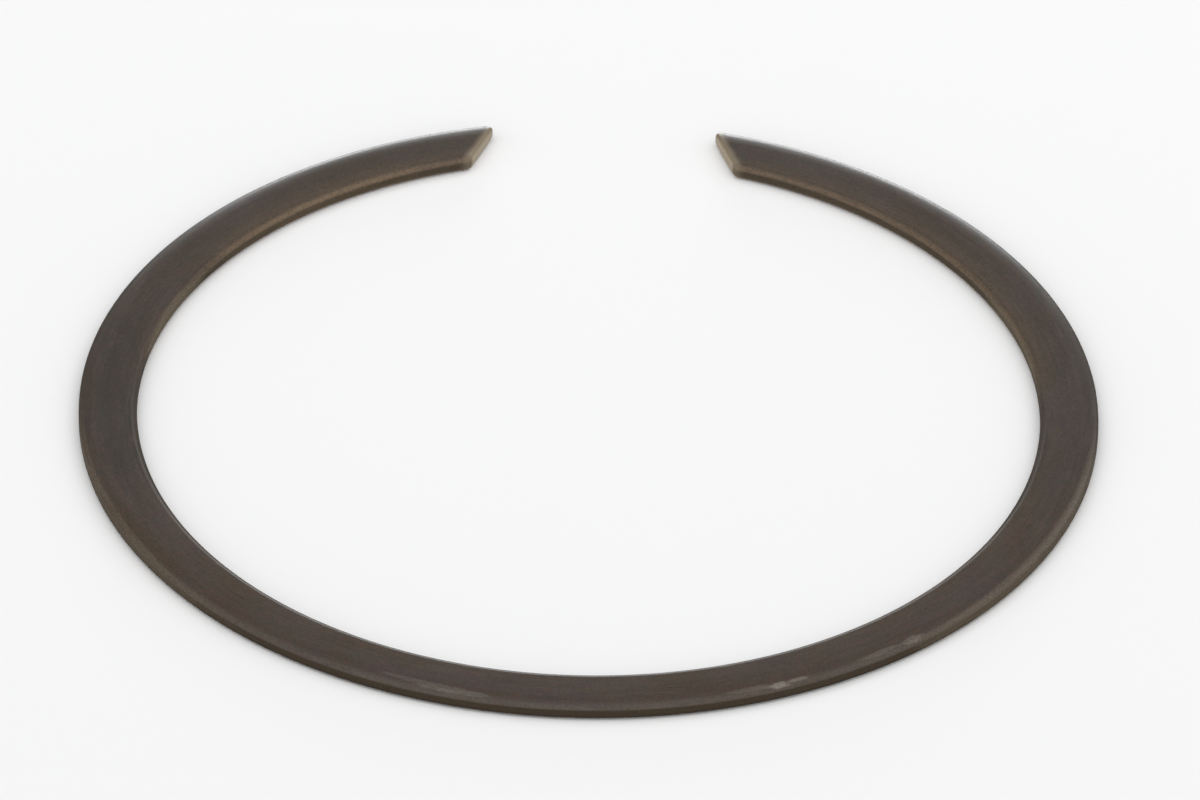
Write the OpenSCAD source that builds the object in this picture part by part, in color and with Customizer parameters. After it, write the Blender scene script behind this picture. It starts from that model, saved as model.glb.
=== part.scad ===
// Plain internal retaining ring: one flat band of spring steel, open at one place.
// It lies flat. The axis is +Z, the lower face is at z = 0 and the gap is centred on +Y.

/* [Band] */
// Outside diameter of the free ring
outer_d = 140; // [110:1:180]
// Radial width of the band
band_w = 8; // [5:0.1:12]
// Thickness of the band
band_t = 2.2; // [1.8:0.1:3.2]

/* [Rolled edges] */
// How far the wide rounding of the outside edges runs in over the flat faces
outer_run = 2.8; // [0.4:0.1:3]
// How far the same rounding drops down the outside wall
outer_drop = 0.55; // [0.2:0.05:0.8]
// How far the tighter rounding of the inside edges runs in over the flat faces
inner_run = 1.1; // [0.4:0.1:1.8]
// How far the same rounding drops down the inside wall
inner_drop = 0.75; // [0.2:0.05:0.8]

/* [Gap and ends] */
// Angle between the two outside tips, seen from the axis
gap_angle = 25; // [10:0.1:50]
// Slant of each end cut from the radial line, so that the gap widens inwards
cut_angle = 32.5; // [10:0.5:45]
// Rounding along the upper and lower edges of each end cut
cut_round = 0.6; // [0.1:0.05:0.7]
// Plan radius of the sharp tip at the outside edge
tip_r = 0.8; // [0.3:0.1:1.5]
// Plan radius of the blunt heel at the inside edge
heel_r = 1; // [0.3:0.1:2.5]

/* [Hidden] */

// Straight steps in each small rounding, and facets of the full circle
arc_steps = 8;
round_steps = 360;
// How far a cutting shape runs past the metal
spare = 1;
oiled_steel = [0.33, 0.29, 0.26];

outer_r = outer_d / 2;
inner_r = outer_r - band_w;
mid_r = outer_r - band_w / 2;

half_gap = gap_angle / 2;
tip = outer_r * [sin(half_gap), cos(half_gap)];
// Angle of the end cut to the Y axis
lean = cut_angle - half_gap;
// The ring's axis as seen from the tip, in the frame of the end cut
axis_from_tip = -outer_r * [sin(cut_angle), cos(cut_angle)];
cut_len = -axis_from_tip.y - sqrt(pow(inner_r, 2) - pow(axis_from_tip.x, 2));

// Points of an oval arc about a centre, from one angle to another
function arc(centre, reach, from, to) =
    [for (i = [0 : arc_steps])
        let (a = from + (to - from) * i / arc_steps)
        centre + [reach.x * cos(a), reach.y * sin(a)]];

// Centre of an upright rounding of radius r that touches the end cut
// and lies at the given distance from the ring's axis
function corner_centre(r, distance) =
    [r, axis_from_tip.y + sqrt(pow(distance, 2) - pow(axis_from_tip.x - r, 2))];

// Direction from the ring's axis to a point, as an angle in the frame of the end cut
function bearing(p) = atan2(p.y - axis_from_tip.y, p.x - axis_from_tip.x);

// A place in the frame of the end cut, seen in the frame of the ring
function from_end(p) = tip + p.x * [cos(lean), sin(lean)] + p.y * [-sin(lean), cos(lean)];

// Cross-section of the band: flat faces, short upright walls and four rolled edges
module band_section() {
    outer_reach = [outer_run, outer_drop];
    inner_reach = [inner_run, inner_drop];
    outside = [band_w, band_t] / 2 - outer_reach;
    inside = [band_w, band_t] / 2 - inner_reach;
    translate([mid_r, band_t / 2])
        polygon(concat(
            arc(outside, outer_reach, 0, 90),
            arc([-inside.x, inside.y], inner_reach, 90, 180),
            arc(-inside, inner_reach, 180, 270),
            arc([outside.x, -outside.y], outer_reach, 270, 360)
        ));
}

// Everything between the two ends, just short of the cut faces
module gap() {
    outside = from_end([-spare / 2, spare]);
    inside = from_end([-spare / 2, -cut_len - spare]);
    beyond = [outside.x, outer_r + spare];
    translate([0, 0, -spare])
        linear_extrude(band_t + 2 * spare)
            for (side = [0, 1])
                mirror([side, 0, 0])
                    polygon([[0, beyond.y], beyond, outside, inside, [0, inside.y]]);
}

// Puts its children in the frame of the end cut: the tip at the origin, the metal on +X
module at_end() {
    translate([tip.x, tip.y, 0]) rotate([0, 0, lean]) children();
}

// Trims the end to its slanted face and rounds that face's upper and lower edges
module end_face_waste() {
    reach = [cut_round, cut_round];
    translate([0, spare, 0])
        rotate([90, 0, 0])
            linear_extrude(cut_len + 2 * spare)
                polygon(concat(
                    [[-spare, -spare], [cut_round, -spare]],
                    arc(reach, reach, 270, 180),
                    arc([cut_round, band_t - cut_round], reach, 180, 90),
                    [[cut_round, band_t + spare], [-spare, band_t + spare]]
                ));
}

// Takes a corner off the end and leaves an upright round in its place. The corner is at the
// height "corner" on the cut face, and "facing" is 1 where it points away from the ring's axis,
// -1 where it points towards it. The round runs from the cut face to the band's own edge.
module corner_waste(corner, centre, r, facing) {
    outwards = bearing(centre);
    meets = facing > 0 ? outwards : outwards + 180;
    curve = arc(centre, [r, r], 180, meets);
    past = curve[arc_steps] + facing * spare * [cos(outwards), sin(outwards)];
    clear = corner + facing * spare;
    translate([0, 0, -spare])
        linear_extrude(band_t + 2 * spare)
            polygon(concat([[-spare, centre.y]], curve, [past, [-spare, clear]]));
}

module tip_waste() {
    corner_waste(0, corner_centre(tip_r, outer_r - tip_r), tip_r, 1);
}

module heel_waste() {
    corner_waste(-cut_len, corner_centre(heel_r, inner_r + heel_r), heel_r, -1);
}

module ring() {
    color(oiled_steel)
        difference() {
            rotate_extrude($fn = round_steps) band_section();
            gap();
            for (side = [0, 1])
                mirror([side, 0, 0])
                    at_end() {
                        end_face_waste();
                        tip_waste();
                        heel_waste();
                    }
        }
}

ring();
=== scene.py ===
"""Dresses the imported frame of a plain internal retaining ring: one band of oiled spring steel
with rolled edges and two slanted ends, lying on a pale floor in soft studio light."""

import math

import bmesh
import bpy
from mathutils import Matrix, Vector


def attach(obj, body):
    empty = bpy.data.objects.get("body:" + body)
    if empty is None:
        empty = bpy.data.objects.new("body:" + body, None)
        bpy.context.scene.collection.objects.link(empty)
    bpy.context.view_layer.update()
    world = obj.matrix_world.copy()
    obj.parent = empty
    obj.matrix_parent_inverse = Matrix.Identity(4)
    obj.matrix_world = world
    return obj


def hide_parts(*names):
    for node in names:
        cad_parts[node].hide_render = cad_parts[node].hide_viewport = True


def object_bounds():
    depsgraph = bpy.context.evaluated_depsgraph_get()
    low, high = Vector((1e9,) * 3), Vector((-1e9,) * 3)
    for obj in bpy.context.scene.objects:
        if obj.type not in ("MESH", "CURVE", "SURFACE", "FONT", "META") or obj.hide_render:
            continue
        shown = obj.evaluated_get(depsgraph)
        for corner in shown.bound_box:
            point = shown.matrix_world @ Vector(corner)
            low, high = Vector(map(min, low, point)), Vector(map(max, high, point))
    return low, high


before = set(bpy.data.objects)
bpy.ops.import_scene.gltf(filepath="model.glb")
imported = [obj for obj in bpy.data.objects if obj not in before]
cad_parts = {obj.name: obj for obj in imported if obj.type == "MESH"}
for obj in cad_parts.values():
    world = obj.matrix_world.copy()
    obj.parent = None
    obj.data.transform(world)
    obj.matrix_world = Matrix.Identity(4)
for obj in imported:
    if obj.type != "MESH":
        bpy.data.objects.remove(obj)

CAD_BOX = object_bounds()

bl_info = {
    "name": "Retaining ring",
    "version": (1, 0, 0),
    "blender": (4, 5, 0),
    "location": "3D View > Sidebar > Retaining ring",
    "description": "Forms an oiled spring steel retaining ring and its studio around the packed frame",
    "category": "Object",
}

MM = 0.001
RING_NODE = "ring"
BODY = "root"


# Settings

class RingShape(bpy.types.PropertyGroup):
    """Sizes of the band and of its two ends"""

    outer_d: bpy.props.FloatProperty(
        name="Outside diameter", description="Across the outside of the free ring",
        default=2 * min(CAD_BOX[1].x, -CAD_BOX[0].x, -CAD_BOX[0].y), unit="LENGTH")
    band_w: bpy.props.FloatProperty(
        name="Band width", description="Radial width of the band",
        default=8 * MM, unit="LENGTH")
    band_t: bpy.props.FloatProperty(
        name="Band thickness", description="Height of the ring as it lies flat",
        default=CAD_BOX[1].z - CAD_BOX[0].z, unit="LENGTH")
    outer_run: bpy.props.FloatProperty(
        name="Outside run", description="How far the outside rolled edges run in over the flat faces",
        default=2.8 * MM, unit="LENGTH")
    outer_drop: bpy.props.FloatProperty(
        name="Outside drop", description="How far the outside rolled edges drop down the wall",
        default=0.55 * MM, unit="LENGTH")
    inner_run: bpy.props.FloatProperty(
        name="Inside run", description="How far the tighter inside rolled edges run in over the flat faces",
        default=1.1 * MM, unit="LENGTH")
    inner_drop: bpy.props.FloatProperty(
        name="Inside drop", description="How far the inside rolled edges drop down the wall",
        default=0.75 * MM, unit="LENGTH")
    gap_angle: bpy.props.FloatProperty(
        name="Gap", description="Angle between the two outside tips, seen from the axis",
        default=math.radians(25), unit="ROTATION")
    cut_angle: bpy.props.FloatProperty(
        name="Slant of the ends", description="Slant of each end cut from the radial line",
        default=math.radians(32.5), unit="ROTATION")
    cut_round: bpy.props.FloatProperty(
        name="Cut edge round", description="Rounding along the upper and lower edges of the cut",
        default=0.6 * MM, unit="LENGTH")
    tip_r: bpy.props.FloatProperty(
        name="Tip round", description="Plan radius of the sharp tip at the outside edge",
        default=0.8 * MM, unit="LENGTH")
    heel_r: bpy.props.FloatProperty(
        name="Heel round", description="Plan radius of the blunt heel at the inside edge",
        default=1.0 * MM, unit="LENGTH")


def colour_setting(name, description, default):
    return bpy.props.FloatVectorProperty(
        name=name, description=description, subtype="COLOR", size=3, default=default, min=0, max=1)


class SteelFinish(bpy.types.PropertyGroup):
    """Colours and gloss of the oiled steel, among them painted highlights and painted shade"""

    brown: colour_setting("Oiled brown", "Main colour of the oxide", (0.049, 0.0355, 0.020))
    purple_brown: colour_setting("Purple brown", "Second colour of the faces", (0.038, 0.0255, 0.0275))
    olive: colour_setting("Olive", "Faint greener tint that runs along the band", (0.042, 0.036, 0.021))
    stain: colour_setting("Stain", "Darker, greener stains on the faces", (0.026, 0.0215, 0.013))
    # Partly the outside wall's own browner tone, partly painted shade that darkens the wall below the faces
    wall_brown_and_shade: colour_setting("Wall brown", "Colour of the outside wall", (0.030, 0.0175, 0.006))
    rust: colour_setting("Rust tint", "Faint redder blotches", (0.072, 0.036, 0.024))
    # Painted shade: near black along the lower outside edge, next to the floor
    underside_shade: colour_setting("Underside", "Dark oil along the lower outside edge", (0.016, 0.011, 0.005))
    # Partly the inside wall's own tone, partly painted light: it is coloured apart from the outside wall for
    # the different light it gets
    inner_wall: colour_setting("Inner wall", "Colour of the inside wall", (0.026, 0.021, 0.011))
    # Partly the bronze of the rubbed crest, partly a painted highlight
    bronze_and_highlight: colour_setting("Bronze", "Rubbed crest of the inside edge", (0.165, 0.116, 0.074))
    grey_rub: colour_setting("Grey rub", "Lightly rubbed crest of the outside edge", (0.075, 0.060, 0.047))
    # Tan wear on the outside edge, and painted highlights on the inside edge
    worn_edge_and_highlight: colour_setting("Worn edge", "Tan stretches of both edges", (0.135, 0.105, 0.068))
    scuff: colour_setting("Scuff", "Small rub marks on the outside edge", (0.28, 0.25, 0.21))
    bare_steel: colour_setting("Bare steel", "The sheared end faces", (0.35, 0.285, 0.195))
    roughness: bpy.props.FloatProperty(
        name="Roughness", description="Gloss of the satin oiled face", default=0.32, min=0, max=1)
    specular: bpy.props.FloatProperty(
        name="Specular", description="Strength of the oil film's reflection", default=0.38, min=0, max=1)


class Studio(bpy.types.PropertyGroup):
    """The camera's place, the floor and the even light"""

    azimuth: bpy.props.FloatProperty(
        name="Camera azimuth", description="Turn of the camera round the ring from the gap's far side",
        default=math.radians(1.30), unit="ROTATION")
    elevation: bpy.props.FloatProperty(
        name="Camera elevation", description="Height of the camera above the ring's plane",
        default=math.radians(35.26), unit="ROTATION")
    roll: bpy.props.FloatProperty(
        name="Camera roll", description="Tilt of the camera about its own line of sight",
        default=math.radians(0.897), unit="ROTATION")
    distance: bpy.props.FloatProperty(
        name="Camera distance", description="From the camera to the middle of the view",
        default=2.8, unit="LENGTH")
    lens: bpy.props.FloatProperty(
        name="Lens", description="Focal length in millimetres", default=611.8, unit="CAMERA")
    aim: bpy.props.FloatVectorProperty(
        name="Aim", description="The point that the middle of the view looks at", size=3,
        default=(0.001500, 0.001641, 0.002272), subtype="TRANSLATION", unit="LENGTH")
    air: bpy.props.FloatProperty(
        name="Air", description="Strength of the even light from all round", default=1.02, min=0)
    front_air: bpy.props.FloatProperty(
        name="Front air", description="Strength of the same light from the camera's side",
        default=1.25, min=0)
    card: bpy.props.FloatProperty(
        name="Card", description="Strength of the light where the dark card stands", default=0.15, min=0)
    card_foot: bpy.props.FloatProperty(
        name="Card foot", description="Height of the lower edge of the dark card behind the ring",
        default=math.radians(-10), unit="ROTATION")
    card_top: bpy.props.FloatProperty(
        name="Card top", description="Height of the upper edge of the dark card",
        default=math.radians(52), unit="ROTATION")
    card_soft: bpy.props.FloatProperty(
        name="Card softness", description="How far each edge of the card fades",
        default=math.radians(16), unit="ROTATION")
    floor_colour: bpy.props.FloatVectorProperty(
        name="Floor", description="Colour of the pale floor", subtype="COLOR", size=3,
        default=(0.93, 0.93, 0.93), min=0, max=1)


# Shape of the ring

# Straight steps in each rounded corner of the section, round half the ring and along a slanted end
CORNER_STEPS = 14
ROUND_STEPS = 168
END_STEPS = 14
# How far the band is spun past the tip before its end is cut
PAST_TIP = math.radians(1)
# Where the end is first cut straight, counted in depths of the deeper of its two corner rounds
FIRST_CUT = 1.08
# What belongs to the end, in outside radii: all above the first and within the second of the tip
END_ABOVE = 0.6
END_WITHIN = 0.2
# Width of the rim round each cut face, which keeps the face itself flat in the light
FACE_RIM = 0.12 * MM
# How close a corner of the section has to be to a wall to be picked
NEAR_WALL = 1e-6
# How close a corner has to be to a cut, or to another corner, to count as the same place
SAME_PLACE = 1e-7
# The same for the two halves of the ring where they meet, in outside diameters
NEAR_JOIN = 1e-6
# Faces that meet at less than this angle are shaded as one
SMOOTH_BELOW = math.radians(40)


class EndPlan:
    """Plan of one end, in the frame of its cut: the sharp tip at (0, 0), the metal on +X."""

    def __init__(self, shape):
        self.outer_r = shape.outer_d / 2
        self.inner_r = self.outer_r - shape.band_w
        self.cut_round = shape.cut_round
        self.lean = shape.cut_angle - shape.gap_angle / 2
        self.axis = Vector((-self.outer_r * math.sin(shape.cut_angle),
                            -self.outer_r * math.cos(shape.cut_angle)))
        self.tip_r = shape.tip_r
        self.tip = self.corner(self.tip_r, self.outer_r - self.tip_r)
        self.tip_depth = self.tip.x + self.tip_r * math.cos(self.bearing(self.tip))
        self.heel_r = shape.heel_r
        self.heel = self.corner(self.heel_r, self.inner_r + self.heel_r)
        self.heel_depth = self.heel.x - self.heel_r * math.cos(self.bearing(self.heel))

    def corner(self, r, distance):
        """Centre of an upright round that touches the cut, at a distance from the ring's axis."""
        return Vector((r, self.axis.y + math.sqrt(distance ** 2 - (self.axis.x - r) ** 2)))

    def bearing(self, point):
        """Direction from the ring's axis to a point."""
        return math.atan2(point.y - self.axis.y, point.x - self.axis.x)

    def outside(self, depth):
        """Height of the outside edge at a depth behind the cut."""
        if depth < self.tip_depth:
            return self.tip.y + math.sqrt(max(0, self.tip_r ** 2 - (depth - self.tip_r) ** 2))
        return self.axis.y + math.sqrt(self.outer_r ** 2 - (depth - self.axis.x) ** 2)

    def inside(self, depth):
        """Height of the inside edge at a depth behind the cut."""
        if depth < self.heel_depth:
            return self.heel.y - math.sqrt(max(0, self.heel_r ** 2 - (depth - self.heel_r) ** 2))
        return self.axis.y + math.sqrt(self.inner_r ** 2 - (depth - self.axis.x) ** 2)

    def drop(self, depth):
        """How far the upper and lower faces have rounded off at a depth behind the cut."""
        if depth >= self.cut_round:
            return 0.0
        return self.cut_round - math.sqrt(self.cut_round ** 2 - (self.cut_round - depth) ** 2)


def pick_faces(piece, wanted):
    """Selects the faces whose every corner passes the test, and nothing else."""
    bpy.ops.mesh.select_mode(type="FACE")
    bpy.ops.mesh.select_all(action="DESELECT")
    mesh = bmesh.from_edit_mesh(piece.data)
    count = 0
    for face in mesh.faces:
        if all(wanted(corner.co) for corner in face.verts):
            face.select_set(True)
            count += 1
    bmesh.update_edit_mesh(piece.data)
    if not count:
        raise RuntimeError("no face was found where the ring's shape needs one")


def stretch_height(middle, share):
    """Stretches all of the piece up and down about its middle."""
    bpy.ops.mesh.select_all(action="SELECT")
    bpy.ops.transform.resize(value=(1, 1, share), center_override=middle)


def round_corners(piece, run, wanted):
    """Rounds the corners of the flat section that pass the test."""
    bpy.ops.mesh.select_mode(type="VERT")
    bpy.ops.mesh.select_all(action="DESELECT")
    mesh = bmesh.from_edit_mesh(piece.data)
    for corner in mesh.verts:
        corner.select_set(wanted(corner.co))
    bmesh.update_edit_mesh(piece.data)
    bpy.ops.mesh.bevel(offset_type="OFFSET", offset=run, segments=CORNER_STEPS, profile=0.5,
                       affect="VERTICES", clamp_overlap=False)


def turn(angle):
    """Turns all that is selected about the ring's axis, counter-clockwise seen from above."""
    bpy.ops.transform.rotate(value=-angle, orient_axis="Z", orient_type="GLOBAL", center_override=(0, 0, 0))


def form_section(shape, middle):
    """Lays the band's section upright across -Y. Its height is stretched while the corners are
    rounded, which makes them oval: wide and shallow at the outside edge, tighter at the inside."""
    bpy.ops.object.select_all(action="DESELECT")
    bpy.ops.mesh.primitive_plane_add(size=1, location=middle, rotation=(0, math.pi / 2, 0))
    ring = bpy.context.active_object
    ring.name = ring.data.name = "spring_band"
    bpy.ops.object.transform_apply(location=True, rotation=True, scale=True)
    bpy.ops.object.mode_set(mode="EDIT")
    bpy.ops.mesh.select_all(action="SELECT")
    bpy.ops.transform.resize(value=(1, shape.band_w, shape.band_t), center_override=middle)
    outer_wall = middle[1] - shape.band_w / 2 + NEAR_WALL
    inner_wall = middle[1] + shape.band_w / 2 - NEAR_WALL
    for run, drop, wanted in ((shape.outer_run, shape.outer_drop, lambda p: p.y < outer_wall),
                              (shape.inner_run, shape.inner_drop, lambda p: p.y > inner_wall)):
        stretch_height(middle, run / drop)
        round_corners(ring, run, wanted)
        stretch_height(middle, drop / run)
    return ring


def form_half_ring(shape, plan):
    """Rolls the half of the ring on +X, from the side opposite the gap to the slanted end."""
    ring = form_section(shape, (0, shape.band_w / 2 - plan.outer_r, shape.band_t / 2))

    # The band: the section is spun to just past the tip
    sweep = math.pi - shape.gap_angle / 2 + PAST_TIP
    bpy.ops.mesh.select_all(action="SELECT")
    bpy.ops.mesh.spin(steps=ROUND_STEPS, angle=-sweep, center=(0, 0, 0), axis=(0, 0, 1))

    # The slanted end: cut straight where the corner rounds begin, then drawn out to the cut face
    bpy.ops.mesh.select_all(action="SELECT")
    turn(-plan.lean)
    tip = -plan.axis
    above = plan.outer_r * END_ABOVE
    within = tip.x + plan.outer_r * END_WITHIN
    start = FIRST_CUT * max(plan.tip_depth, plan.heel_depth)
    pick_faces(ring, lambda p: p.x < within and p.y > above)
    bpy.ops.mesh.bisect(plane_co=(tip.x + start, 0, 0), plane_no=(1, 0, 0), clear_inner=True, use_fill=True,
                        threshold=SAME_PLACE)
    depth = start
    for step in range(END_STEPS):
        new_depth = start * (1 - math.sin(math.pi / 2 * (step + 1) / END_STEPS))
        pick_faces(ring, lambda p: abs(p.x - tip.x - depth) < SAME_PLACE and p.y > above)
        low, high = plan.inside(depth), plan.outside(depth)
        thick = shape.band_t - 2 * plan.drop(depth)
        new_low, new_high = plan.inside(new_depth), plan.outside(new_depth)
        new_thick = shape.band_t - 2 * plan.drop(new_depth)
        bpy.ops.mesh.extrude_region_move(TRANSFORM_OT_translate={
            "value": (new_depth - depth, (new_low + new_high - low - high) / 2, 0)})
        bpy.ops.transform.resize(
            value=(1, (new_high - new_low) / (high - low), new_thick / thick),
            center_override=(tip.x + new_depth, tip.y + (new_low + new_high) / 2, shape.band_t / 2))
        depth = new_depth
    bpy.ops.mesh.inset(thickness=FACE_RIM, depth=0)
    bpy.ops.mesh.select_all(action="SELECT")
    turn(plan.lean)
    bpy.ops.object.mode_set(mode="OBJECT")
    return ring


def close_ring(ring, shape):
    """Mirrors the half, joins it where the two halves meet and turns every face outwards."""
    at_join = shape.outer_d * NEAR_JOIN
    bpy.ops.object.mode_set(mode="EDIT")
    pick_faces(ring, lambda p: abs(p.x) < at_join)
    bpy.ops.mesh.delete(type="ONLY_FACE")
    bpy.ops.object.mode_set(mode="OBJECT")
    mirror = ring.modifiers.new("other half", "MIRROR")
    mirror.use_axis = (True, False, False)
    mirror.use_mirror_merge = True
    mirror.merge_threshold = at_join
    bpy.ops.object.modifier_apply(modifier=mirror.name)
    bpy.ops.object.mode_set(mode="EDIT")
    bpy.ops.mesh.select_all(action="SELECT")
    bpy.ops.mesh.remove_doubles(threshold=SAME_PLACE)
    bpy.ops.mesh.normals_make_consistent(inside=False)
    bpy.ops.object.mode_set(mode="OBJECT")
    bpy.ops.object.shade_smooth_by_angle(angle=SMOOTH_BELOW)


# Finish

# Places of the marks on the band, one row each: the angle from the side opposite the gap and the
# half length, both in degrees, the radius and the half width, both in millimetres, and the strength

# Rub marks on the outside edge
SCUFFS = (
    (23.6, 1.3, 69.05, 0.65, 0.80),
    (25.9, 1.6, 68.90, 0.40, 0.50),
    (21.0, 3.0, 68.80, 0.50, 0.25),
    (36.8, 3.0, 68.90, 0.50, 0.28),
    (41.2, 1.6, 69.00, 0.65, 0.42),
    (-13.8, 4.2, 68.70, 0.60, 0.36),
    (-17.5, 6.0, 68.20, 0.45, 0.24),
)
# Tan stretches of both edges: the two on the outside edge are wear, the two on the inside edge are painted
# highlights
WORN_AND_HIGHLIGHT = (
    (62.0, 25.0, 69.6, 0.85, 0.42),
    (-64.0, 24.0, 69.7, 0.70, 0.36),
    (-109.0, 11.0, 61.7, 0.85, 0.75),
    (109.0, 11.0, 61.7, 0.85, 0.70),
)
# Stretches of both edges at the sides, darkened with painted shade
PAINTED_EDGE_SHADE = (
    (-82.0, 18.0, 62.2, 1.1, 0.45),
    (82.0, 18.0, 62.2, 1.1, 0.35),
    (-100.0, 26.0, 69.3, 1.3, 0.28),
    (104.0, 24.0, 69.3, 1.3, 0.30),
)
# Stretches of the inside edge that are rubbed most, painted bronze: partly rub wear, partly painted
# highlight
RUBS_AND_HIGHLIGHTS = (
    (-140.0, 22.0, 62.5, 5.0, 1.0),
    (-160.0, 20.0, 62.5, 5.0, 0.6),
    (140.0, 34.0, 62.5, 5.0, 0.7),
    (108.0, 14.0, 62.5, 5.0, 0.6),
)
# Darker, greener stains on the face
STAINS = (
    (-90.0, 22.0, 65.2, 2.8, 1.00),
    (-101.0, 9.0, 66.8, 2.0, 0.70),
    (95.0, 28.0, 66.0, 4.5, 0.40),
    (-138.0, 30.0, 66.5, 6.0, 0.30),
    (138.0, 30.0, 66.5, 6.0, 0.30),
)
# Where a mark begins to fade and where it has gone, in squares of its half length and half width
MARK_EDGE = (0.35, 1.3)

# Noise on the steel: its scale along the band, less than 1 drawing it out, then the size of its
# lumps in metres, how many finer layers it has and how strong they are
CLOUD = (0.45, 7 * MM, 3, 0.55)
TINT = (0.6, 3.2 * MM, 2, 0.5)
GRAIN = (1, 0.35 * MM, 3, 0.6)
BLOTCH = (0.8, 0.9 * MM, 2, 0.6)
STREAK = (0.05, 0.30 * MM, 3, 0.55)
PATCHY = (0.35, 2.2 * MM, 4, 0.6)
# Noise lies mostly between these two
NOISE_LOW = 0.3
NOISE_HIGH = 0.7
# How far noise moves the edges of marks: of most of them, and the more ragged ones of the scuffs
UNEVEN_PATCHY = 0.4
UNEVEN_STREAK = 0.2
RAGGED_STREAK = 0.7
RAGGED_BLOTCH = 0.3
# How far it moves the edge of the bare cut face
CUT_WOBBLE = 0.12 * MM

# Zones of the steel: where each one begins and where it is full

# Out from the inside edge, in runs of its rounding
INNER_ROLL = (0.85, 0.25)
# In from the outside edge, in millimetres
OUTER_ROLL = (1.3, 0.4)
# In from the upper and lower faces, in drops of each edge's rounding
INNER_WALL = (0.50, 1.20)
OUTER_WALL = (0.60, 1.20)
# Up from the lower face, in thicknesses of the band
UNDERSIDE = (0.45, 0.15)
SCUFFED_TOP = (0.60, 0.85)
# Behind the cut, in millimetres
CUT_FACE = (1.40, -0.30)
# Out from the inside edge, in millimetres: the darker heel of the cut face, and the tail of the inside
# edge's bronze rub and painted highlight
HEEL_FADE = (0.2, 1.2)
TAIL_OF_RUB_AND_HIGHLIGHT = (4.2, 0.6)
# Along Y, in millimetres, from the gap's side towards the side opposite
DULL_EDGE = (15, -25)

# Least and most of each colour, at the two ends of its noise or of its zone
PURPLE_SHARE = (0.0, 1.0)
OLIVE_SHARE = (0.0, 0.8)
RUST_SHARE = (0.0, 0.6)
STAIN_SHARE = (0.3, 1.0)
BRONZE_AND_HIGHLIGHT_SHARE = (0.6, 1.0)
GREY_SHARE = (0.1, 0.6)
TAN_SHARE = (0.6, 1.0)
SCUFF_SHARE = (0.4, 1.0)
HEEL_SHARE = (0.35, 1.0)
TAIL_SHARE = (0.0, 0.38)
LEAST_RUB_AND_HIGHLIGHT = 0.12
# How much darker and lighter the fine noise makes the colour
GRAIN_LIGHT = (0.74, 1.26)
STREAK_LIGHT = (0.92, 1.08)

# What is added to the roughness: by noise, either way, and by each zone
CLOUD_DULL = 0.03
STREAK_DULL = 0.02
EDGE_DULL = (0.22, 0.60)
CUT_DULL = 0.08
WALL_DULL = 0.45
UNDER_DULL = 0.20
# How metallic the rubbed places are
RUB_METAL = 0.5
SCUFF_METAL = 0.6
CUT_METAL = 0.5
# Fine relief
RELIEF_STRENGTH = 0.12
RELIEF_HEIGHT = 0.02 * MM
STREAK_RELIEF = 0.6

# Places of the colour sockets on Blender's Mix node
MIX_FIRST = 6
MIX_SECOND = 7
MIX_RESULT = 2


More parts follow.
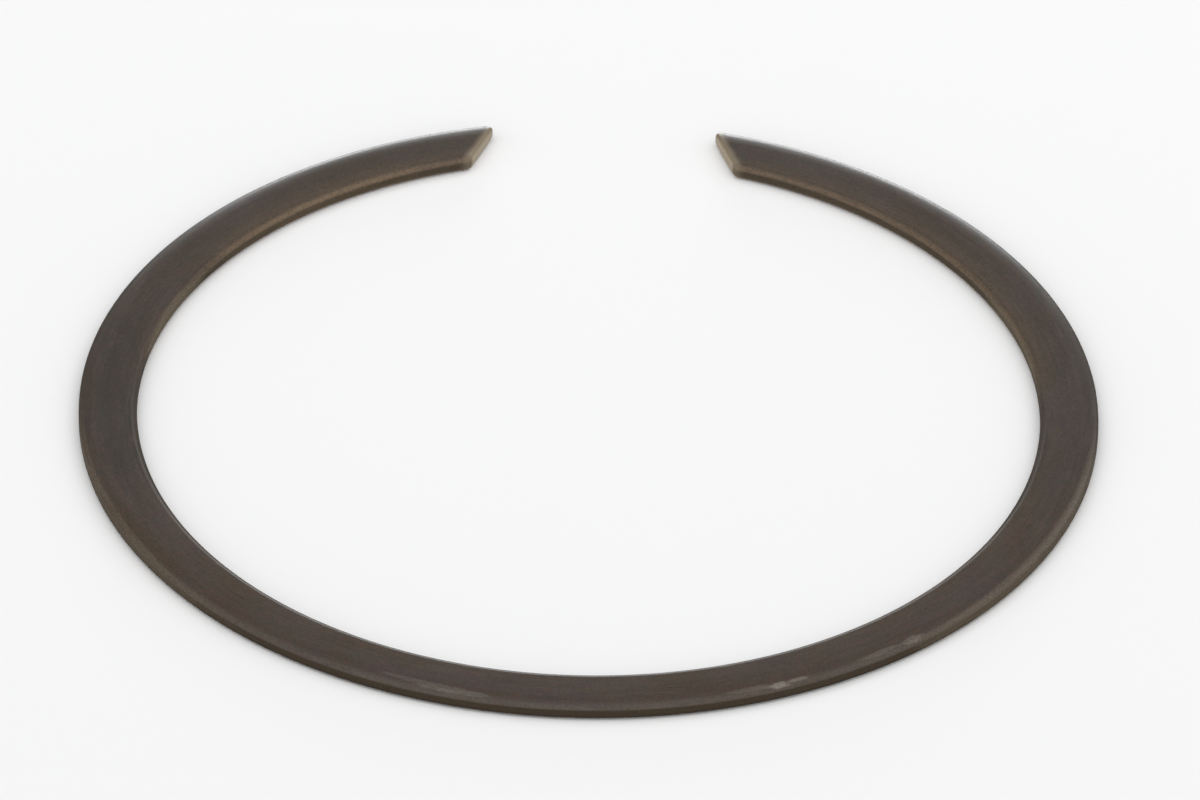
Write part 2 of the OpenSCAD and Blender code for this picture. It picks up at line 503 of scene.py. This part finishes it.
class Paint:
    """Adds shader nodes by name and joins them, so that a finish reads as a list of steps."""

    def __init__(self, tree):
        self.tree = tree

    def add(self, kind, *inputs, **settings):
        node = self.tree.nodes.new("ShaderNode" + kind)
        for name, value in settings.items():
            setattr(node, name, value)
        for socket, value in zip(node.inputs, inputs):
            self.plug(value, socket)
        return node

    def plug(self, value, socket):
        """Links another node's result to a socket, or sets a plain number or colour on it."""
        if isinstance(value, bpy.types.NodeSocket):
            self.tree.links.new(value, socket)
        else:
            socket.default_value = value

    def math(self, operation, *values, clamp=False):
        return self.add("Math", *values, operation=operation, use_clamp=clamp).outputs[0]

    def plus(self, first, second, clamp=False):
        return self.math("ADD", first, second, clamp=clamp)

    def minus(self, first, second, clamp=False):
        return self.math("SUBTRACT", first, second, clamp=clamp)

    def times(self, first, second):
        return self.math("MULTIPLY", first, second)

    def over(self, first, second):
        return self.math("DIVIDE", first, second)

    def larger(self, first, second):
        return self.math("MAXIMUM", first, second)

    def squares(self, first, second):
        """The squares of two values, added up."""
        return self.plus(self.times(first, first), self.times(second, second))

    def noise(self, place, scale_along, size, detail, roughness):
        """Soft noise from 0 to 1 whose lumps are about the given size in metres."""
        node = self.add("TexNoise")
        scaled = self.add("VectorMath", place, (scale_along, 1, 1), operation="MULTIPLY")
        self.plug(scaled.outputs[0], node.inputs["Vector"])
        node.inputs["Scale"].default_value = 1 / size
        node.inputs["Detail"].default_value = detail
        node.inputs["Roughness"].default_value = roughness
        return node.outputs[0]

    def step(self, value, start, end, low=0.0, high=1.0):
        """Goes smoothly from low to high as the value goes from start to end."""
        return self.add("MapRange", value, start, end, low, high, interpolation_type="SMOOTHSTEP").outputs[0]

    def zone(self, value, base, unit, ends, low=0.0, high=1.0):
        """The same, with the start and the end counted in a unit from a base."""
        start, end = ends
        return self.step(value, base + start * unit, base + end * unit, low, high)

    def spread(self, noise, low, high):
        """Stretches noise to run from low to high."""
        return self.add("MapRange", noise, NOISE_LOW, NOISE_HIGH, low, high).outputs[0]

    def wobble(self, noise, reach):
        """Stretches noise to run as far below zero as above."""
        return self.spread(noise, -reach, reach)

    def mix(self, factor, first, second):
        """Goes from the first colour to the second as the factor goes from 0 to 1."""
        node = self.add("Mix", data_type="RGBA")
        self.plug(factor, node.inputs["Factor"])
        self.plug(first, node.inputs[MIX_FIRST])
        self.plug(second, node.inputs[MIX_SECOND])
        return node.outputs[MIX_RESULT]

    def marks(self, along, radius, places, ragged):
        """Soft marks with ragged edges at the given places on the ring."""
        total = None
        for angle, half_length, centre, half_width, strength in places:
            lengthways = self.over(self.minus(along, math.radians(angle)), math.radians(half_length))
            crossways = self.over(self.minus(radius, centre * MM), half_width * MM)
            reach = self.plus(self.squares(lengthways, crossways), ragged)
            mark = self.step(reach, *MARK_EDGE, strength, 0.0)
            total = mark if total is None else self.larger(total, mark)
        return total


def new_material(name):
    """A material with nothing but its shader."""
    material = bpy.data.materials.new(name)
    material.use_nodes = True
    nodes = material.node_tree.nodes
    nodes.clear()
    out = nodes.new("ShaderNodeOutputMaterial")
    shader = nodes.new("ShaderNodeBsdfPrincipled")
    material.node_tree.links.new(shader.outputs["BSDF"], out.inputs["Surface"])
    return material, shader


def opaque(colour):
    return (*colour, 1.0)


def oiled_steel(shape, finish, plan):
    """Satin, oiled brown-black oxide: faint rolling streaks and stains on the faces, walls darkened partly
    by painted shade, painted shade on the lower edge and on stretches of both edges, edges rubbed to bronze
    and tan with painted highlights among them, a few scuffs, and bare sheared steel on the two cut faces."""
    material, shader = new_material("oiled_spring_steel")
    paint = Paint(material.node_tree)
    outer, inner = plan.outer_r, plan.inner_r
    half_t = shape.band_t / 2

    # Where a point is: along the band, its radius and its height
    place = paint.add("TexCoord").outputs["Object"]
    x, y, z = paint.add("SeparateXYZ", place).outputs
    along = paint.math("ARCTAN2", x, paint.times(y, -1.0))
    radius = paint.math("SQRT", paint.squares(x, y))
    from_mid = paint.math("ABSOLUTE", paint.minus(z, half_t))
    band = paint.add("CombineXYZ", paint.times(along, (outer + inner) / 2), radius, z).outputs[0]

    # Noise at the scales seen on the steel
    cloud = paint.noise(band, *CLOUD)
    tint = paint.noise(band, *TINT)
    grain = paint.noise(band, *GRAIN)
    blotch = paint.noise(band, *BLOTCH)
    streak = paint.noise(band, *STREAK)
    patchy = paint.noise(band, *PATCHY)

    # What breaks up the edges of the marks
    uneven = paint.plus(paint.wobble(patchy, UNEVEN_PATCHY), paint.wobble(streak, UNEVEN_STREAK))
    ragged = paint.plus(paint.wobble(streak, RAGGED_STREAK), paint.wobble(blotch, RAGGED_BLOTCH))

    # Zones: the two rolled edges, the upright walls and the lower outside edge
    roll_in = paint.zone(radius, inner, shape.inner_run, INNER_ROLL)
    roll_out = paint.zone(radius, outer, -MM, OUTER_ROLL)
    wall_in = paint.times(roll_in, paint.zone(from_mid, half_t, -shape.inner_drop, INNER_WALL))
    wall_out = paint.times(roll_out, paint.zone(from_mid, half_t, -shape.outer_drop, OUTER_WALL))
    underside_shade = paint.times(roll_out, paint.zone(z, 0, shape.band_t, UNDERSIDE))

    # The two bare cut faces, which are darker towards the heel
    cut_at = outer * math.sin(shape.cut_angle)
    behind = paint.plus(paint.times(paint.math("ABSOLUTE", x), math.cos(plan.lean)),
                        paint.times(y, math.sin(plan.lean)))
    bare = paint.zone(paint.plus(behind, paint.wobble(tint, CUT_WOBBLE)), cut_at, MM, CUT_FACE)
    bare = paint.times(bare, paint.math("GREATER_THAN", y, 0.0))
    bare = paint.times(bare, paint.zone(radius, inner, MM, HEEL_FADE, *HEEL_SHARE))

    # Colour of the oxide, its stains, the walls, darkened partly with painted shade, and the painted shade
    # along the lower outside edge
    stain = paint.times(paint.marks(along, radius, STAINS, uneven), paint.spread(patchy, *STAIN_SHARE))
    colour = paint.mix(paint.spread(cloud, *PURPLE_SHARE), opaque(finish.brown), opaque(finish.purple_brown))
    colour = paint.mix(paint.spread(tint, *OLIVE_SHARE), colour, opaque(finish.olive))
    colour = paint.mix(paint.spread(blotch, *RUST_SHARE), colour, opaque(finish.rust))
    colour = paint.mix(stain, colour, opaque(finish.stain))
    colour = paint.mix(wall_out, colour, opaque(finish.wall_brown_and_shade))
    # Painted shade along the lower outside edge
    colour = paint.mix(underside_shade, colour, opaque(finish.underside_shade))
    colour = paint.mix(wall_in, colour, opaque(finish.inner_wall))

    # Edges rubbed to bronze with painted highlights, grey rubs, painted shade on stretches of both edges,
    # tan wear and painted highlights, and the scuffs
    # The inside edge's bronze rub, partly painted highlight
    inner_rub_and_highlight = paint.minus(roll_in, wall_in, clamp=True)
    inner_rub_and_highlight = paint.larger(inner_rub_and_highlight, paint.zone(radius, inner, MM, TAIL_OF_RUB_AND_HIGHLIGHT, *TAIL_SHARE))
    inner_rub_and_highlight = paint.times(inner_rub_and_highlight, paint.larger(paint.marks(along, radius, RUBS_AND_HIGHLIGHTS, uneven), LEAST_RUB_AND_HIGHLIGHT))
    inner_rub_and_highlight = paint.times(inner_rub_and_highlight, paint.spread(patchy, *BRONZE_AND_HIGHLIGHT_SHARE))
    colour = paint.mix(inner_rub_and_highlight, colour, opaque(finish.bronze_and_highlight))
    rub_out = paint.minus(roll_out, wall_out, clamp=True)
    rub_out = paint.times(rub_out, paint.spread(patchy, *GREY_SHARE))
    colour = paint.mix(rub_out, colour, opaque(finish.grey_rub))
    # Painted shade on stretches of both edges
    colour = paint.mix(paint.marks(along, radius, PAINTED_EDGE_SHADE, uneven), colour, opaque(finish.underside_shade))
    # Tan wear on the outside edge, painted highlights on the inside edge
    worn_and_highlight = paint.times(paint.marks(along, radius, WORN_AND_HIGHLIGHT, uneven), paint.spread(patchy, *TAN_SHARE))
    colour = paint.mix(worn_and_highlight, colour, opaque(finish.worn_edge_and_highlight))
    scuff = paint.times(paint.marks(along, radius, SCUFFS, ragged), paint.spread(streak, *SCUFF_SHARE))
    scuff = paint.times(scuff, paint.zone(z, 0, shape.band_t, SCUFFED_TOP))
    colour = paint.mix(scuff, colour, opaque(finish.scuff))

    # Fine light and dark in the oxide, and the bare metal over all
    light = paint.times(paint.spread(grain, *GRAIN_LIGHT), paint.spread(streak, *STREAK_LIGHT))
    lit = paint.add("VectorMath", colour, operation="SCALE")
    paint.plug(light, lit.inputs["Scale"])
    colour = paint.mix(bare, lit.outputs[0], opaque(finish.bare_steel))
    paint.plug(colour, shader.inputs["Base Color"])

    # Gloss
    gloss = paint.plus(finish.roughness, paint.wobble(cloud, CLOUD_DULL))
    gloss = paint.plus(gloss, paint.wobble(streak, STREAK_DULL))
    gloss = paint.plus(gloss, paint.times(roll_in, paint.zone(y, 0, MM, DULL_EDGE, *EDGE_DULL)))
    gloss = paint.plus(gloss, paint.times(bare, CUT_DULL))
    gloss = paint.plus(gloss, paint.times(paint.larger(wall_out, wall_in), WALL_DULL))
    gloss = paint.plus(gloss, paint.times(underside_shade, UNDER_DULL), clamp=True)
    paint.plug(gloss, shader.inputs["Roughness"])
    metal = paint.larger(paint.times(inner_rub_and_highlight, RUB_METAL), paint.times(scuff, SCUFF_METAL))
    metal = paint.larger(metal, paint.times(bare, CUT_METAL))
    paint.plug(metal, shader.inputs["Metallic"])
    shader.inputs["Specular IOR Level"].default_value = finish.specular

    # Fine relief, which the smooth outside edge hasn't
    bump = paint.add("Bump")
    bump.inputs["Strength"].default_value = RELIEF_STRENGTH
    bump.inputs["Distance"].default_value = RELIEF_HEIGHT
    relief = paint.plus(grain, paint.times(streak, STREAK_RELIEF))
    relief = paint.times(relief, paint.minus(1.0, roll_out))
    paint.plug(relief, bump.inputs["Height"])
    paint.plug(bump.outputs[0], shader.inputs["Normal"])
    return material


# Stage

WHITE = (1, 1, 1)
COOL_WHITE = (0.93, 0.97, 1.0)
# Soft lights: name, place and size in metres, power in watts, colour
LIGHTS = (
    ("overhead_softbox", (0, 0.80, 1.50), (1.3, 0.9), 1.0, WHITE),
    ("low_strip", (0, 1.70, 0.25), (0.7, 0.45), 4.6, COOL_WHITE),
    ("horizon_strip", (0, 1.70, 0.14), (0.7, 0.24), 3.2, COOL_WHITE),
    ("right_softbox", (0.76, 0.97, 0.86), (0.7, 0.7), 1.8, WHITE),
    ("left_softbox", (-0.76, 0.97, 0.86), (0.7, 0.7), 0.3, WHITE),
)
# How far to each side of the gap's direction the dark card ends, and where it is full
CARD_SIDES = (math.radians(95), math.radians(60))
# Where the even light changes from the far side's strength to the camera side's, from -1 to 1 on Y
AIR_CHANGE = (0.3, -0.3)

FLOOR_SIZE = 30
# How far the floor lies below the ring, so that the two don't flicker
FLOOR_DROP = 0.02 * MM
FLOOR_ROUGHNESS = 0.9
FLOOR_SPECULAR = 0.0

# The camera's sensor in millimetres, and the nearest and furthest that it sees in metres
SENSOR_WIDTH = 36
SEES_FROM = 0.1
SEES_TO = 50


def light_ring(name, place, size, power, colour):
    """A soft rectangular light that shines on the middle of the ring and that the camera doesn't see."""
    bpy.ops.object.select_all(action="DESELECT")
    bpy.ops.object.light_add(type="AREA", location=place)
    light = bpy.context.active_object
    light.name = light.data.name = name
    towards_ring = Vector((0, 0, 0)) - Vector(place)
    light.rotation_euler = towards_ring.to_track_quat("-Z", "Y").to_euler()
    light.data.shape = "RECTANGLE"
    light.data.size, light.data.size_y = size
    light.data.energy = power
    light.data.color = colour
    light.visible_camera = False


def studio_air(studio):
    """Even light from all round, dimmed by a wide dark card behind the ring."""
    world = bpy.data.worlds.new("studio_air")
    world.use_nodes = True
    paint = Paint(world.node_tree)
    background = world.node_tree.nodes["Background"]
    towards = paint.add("TexCoord").outputs["Generated"]
    x, y, z = paint.add("SeparateXYZ", towards).outputs
    height = paint.math("ARCSINE", z)
    side = paint.math("ABSOLUTE", paint.math("ARCTAN2", x, y))
    half = studio.card_soft / 2
    card = paint.times(paint.step(height, studio.card_foot - half, studio.card_foot + half),
                       paint.step(height, studio.card_top + half, studio.card_top - half))
    card = paint.times(card, paint.step(side, *CARD_SIDES))
    air = paint.step(y, *AIR_CHANGE, studio.air, studio.front_air)
    dimmed = paint.add("MapRange", card, 0.0, 1.0, air, studio.card).outputs[0]
    background.inputs["Color"].default_value = opaque(WHITE)
    paint.plug(dimmed, background.inputs["Strength"])
    return world


def rotation(angle, axis):
    return Matrix.Rotation(angle, 3, axis)


class RING_OT_form_band(bpy.types.Operator):
    """Forms the band with its rolled edges and slanted ends, and gives it its oiled finish"""

    bl_idname = "retaining_ring.form_band"
    bl_label = "Form the ring"

    def execute(self, context):
        shape, finish = context.scene.ring_shape, context.scene.steel_finish
        plan = EndPlan(shape)
        ring = form_half_ring(shape, plan)
        close_ring(ring, shape)
        ring.data.materials.clear()
        ring.data.materials.append(oiled_steel(shape, finish, plan))
        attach(ring, BODY)
        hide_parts(RING_NODE)
        return {"FINISHED"}


class RING_OT_set_stage(bpy.types.Operator):
    """Lays the pale floor and sets up the soft lights and the camera"""

    bl_idname = "retaining_ring.set_stage"
    bl_label = "Set the stage"

    def execute(self, context):
        studio = context.scene.studio
        bpy.ops.object.select_all(action="DESELECT")
        bpy.ops.mesh.primitive_plane_add(size=FLOOR_SIZE, location=(0, 0, -FLOOR_DROP))
        floor = context.active_object
        floor.name = floor.data.name = "floor"
        bpy.ops.object.transform_apply(location=True, rotation=True, scale=True)
        material, shader = new_material("pale_floor")
        shader.inputs["Base Color"].default_value = opaque(studio.floor_colour)
        shader.inputs["Roughness"].default_value = FLOOR_ROUGHNESS
        shader.inputs["Specular IOR Level"].default_value = FLOOR_SPECULAR
        floor.data.materials.append(material)

        context.scene.world = studio_air(studio)
        for light in LIGHTS:
            light_ring(*light)

        turn_to = (rotation(studio.azimuth, "Z") @ rotation(math.pi / 2 - studio.elevation, "X")
                   @ rotation(studio.roll, "Z"))
        back = turn_to @ Vector((0, 0, 1))
        bpy.ops.object.camera_add(location=Vector(studio.aim) + back * studio.distance,
                                  rotation=turn_to.to_euler())
        camera = context.active_object
        camera.name = camera.data.name = "camera"
        camera.data.lens = studio.lens
        camera.data.sensor_width = SENSOR_WIDTH
        camera.data.clip_start = SEES_FROM
        camera.data.clip_end = SEES_TO
        context.scene.camera = camera
        context.scene.view_settings.view_transform = "Standard"
        return {"FINISHED"}


class RING_PT_panel(bpy.types.Panel):
    """The ring's sizes, finish and studio, with the buttons that make them"""

    bl_idname = "RING_PT_panel"
    bl_label = "Retaining ring"
    bl_space_type = "VIEW_3D"
    bl_region_type = "UI"
    bl_category = "Retaining ring"

    def draw(self, context):
        for owner, operator in ((context.scene.ring_shape, RING_OT_form_band),
                                (context.scene.steel_finish, None),
                                (context.scene.studio, RING_OT_set_stage)):
            box = self.layout.box()
            for name in owner.bl_rna.properties.keys():
                if name not in ("rna_type", "name"):
                    box.prop(owner, name)
            if operator:
                box.operator(operator.bl_idname)


CLASSES = (RingShape, SteelFinish, Studio, RING_OT_form_band, RING_OT_set_stage, RING_PT_panel)


def register():
    for cls in CLASSES:
        bpy.utils.register_class(cls)
    bpy.types.Scene.ring_shape = bpy.props.PointerProperty(type=RingShape)
    bpy.types.Scene.steel_finish = bpy.props.PointerProperty(type=SteelFinish)
    bpy.types.Scene.studio = bpy.props.PointerProperty(type=Studio)


def unregister():
    del bpy.types.Scene.ring_shape, bpy.types.Scene.steel_finish, bpy.types.Scene.studio
    for cls in reversed(CLASSES):
        bpy.utils.unregister_class(cls)


def main():
    register()
    bpy.ops.retaining_ring.form_band()
    bpy.ops.retaining_ring.set_stage()


if __name__ == "__main__":
    main()
